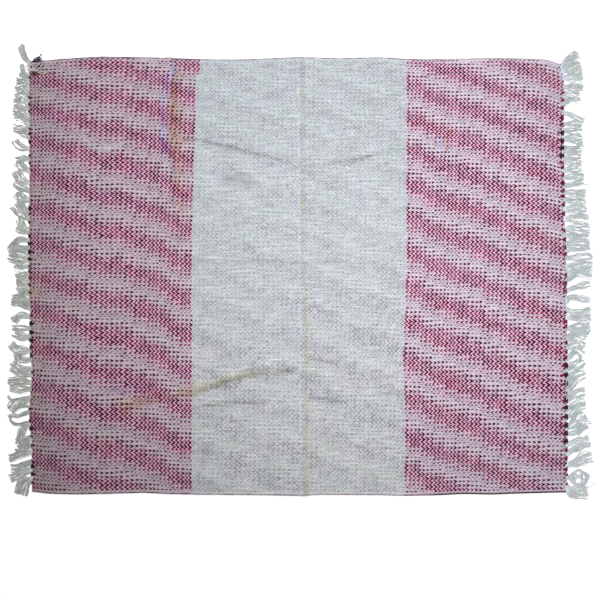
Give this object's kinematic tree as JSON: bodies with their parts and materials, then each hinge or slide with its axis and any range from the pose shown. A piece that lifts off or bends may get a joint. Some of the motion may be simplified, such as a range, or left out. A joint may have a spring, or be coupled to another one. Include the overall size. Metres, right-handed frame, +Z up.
{
  "type": "throw blanket",
  "caption": "Woven cotton throw lying flat, with zigzag coloured bands at both ends, an off-white middle, fold creases and loose fringe on two ends.",
  "frame": {"origin": "on the floor, under the middle of the whole throw with its fringe", "axes": "+X along the warp towards the right fringe, +Y towards the upper selvedge, +Z up, out of the face of the cloth"},
  "size_m": [1.6794, 1.2826, 0.011],
  "materials": {
    "cloth": "matte hand-woven cotton, magenta zigzags on lilac at both ends and off-white in the middle",
    "fringe_left": "matte loosely twisted cotton warp ends, grey-beige",
    "fringe_right": "matte loosely twisted cotton warp ends, pale grey"
  },
  "bodies": {
    "root": {"cloth": "cloth", "fringe_left": "fringe_left", "fringe_right": "fringe_right"}
  },
  "joints": []
}
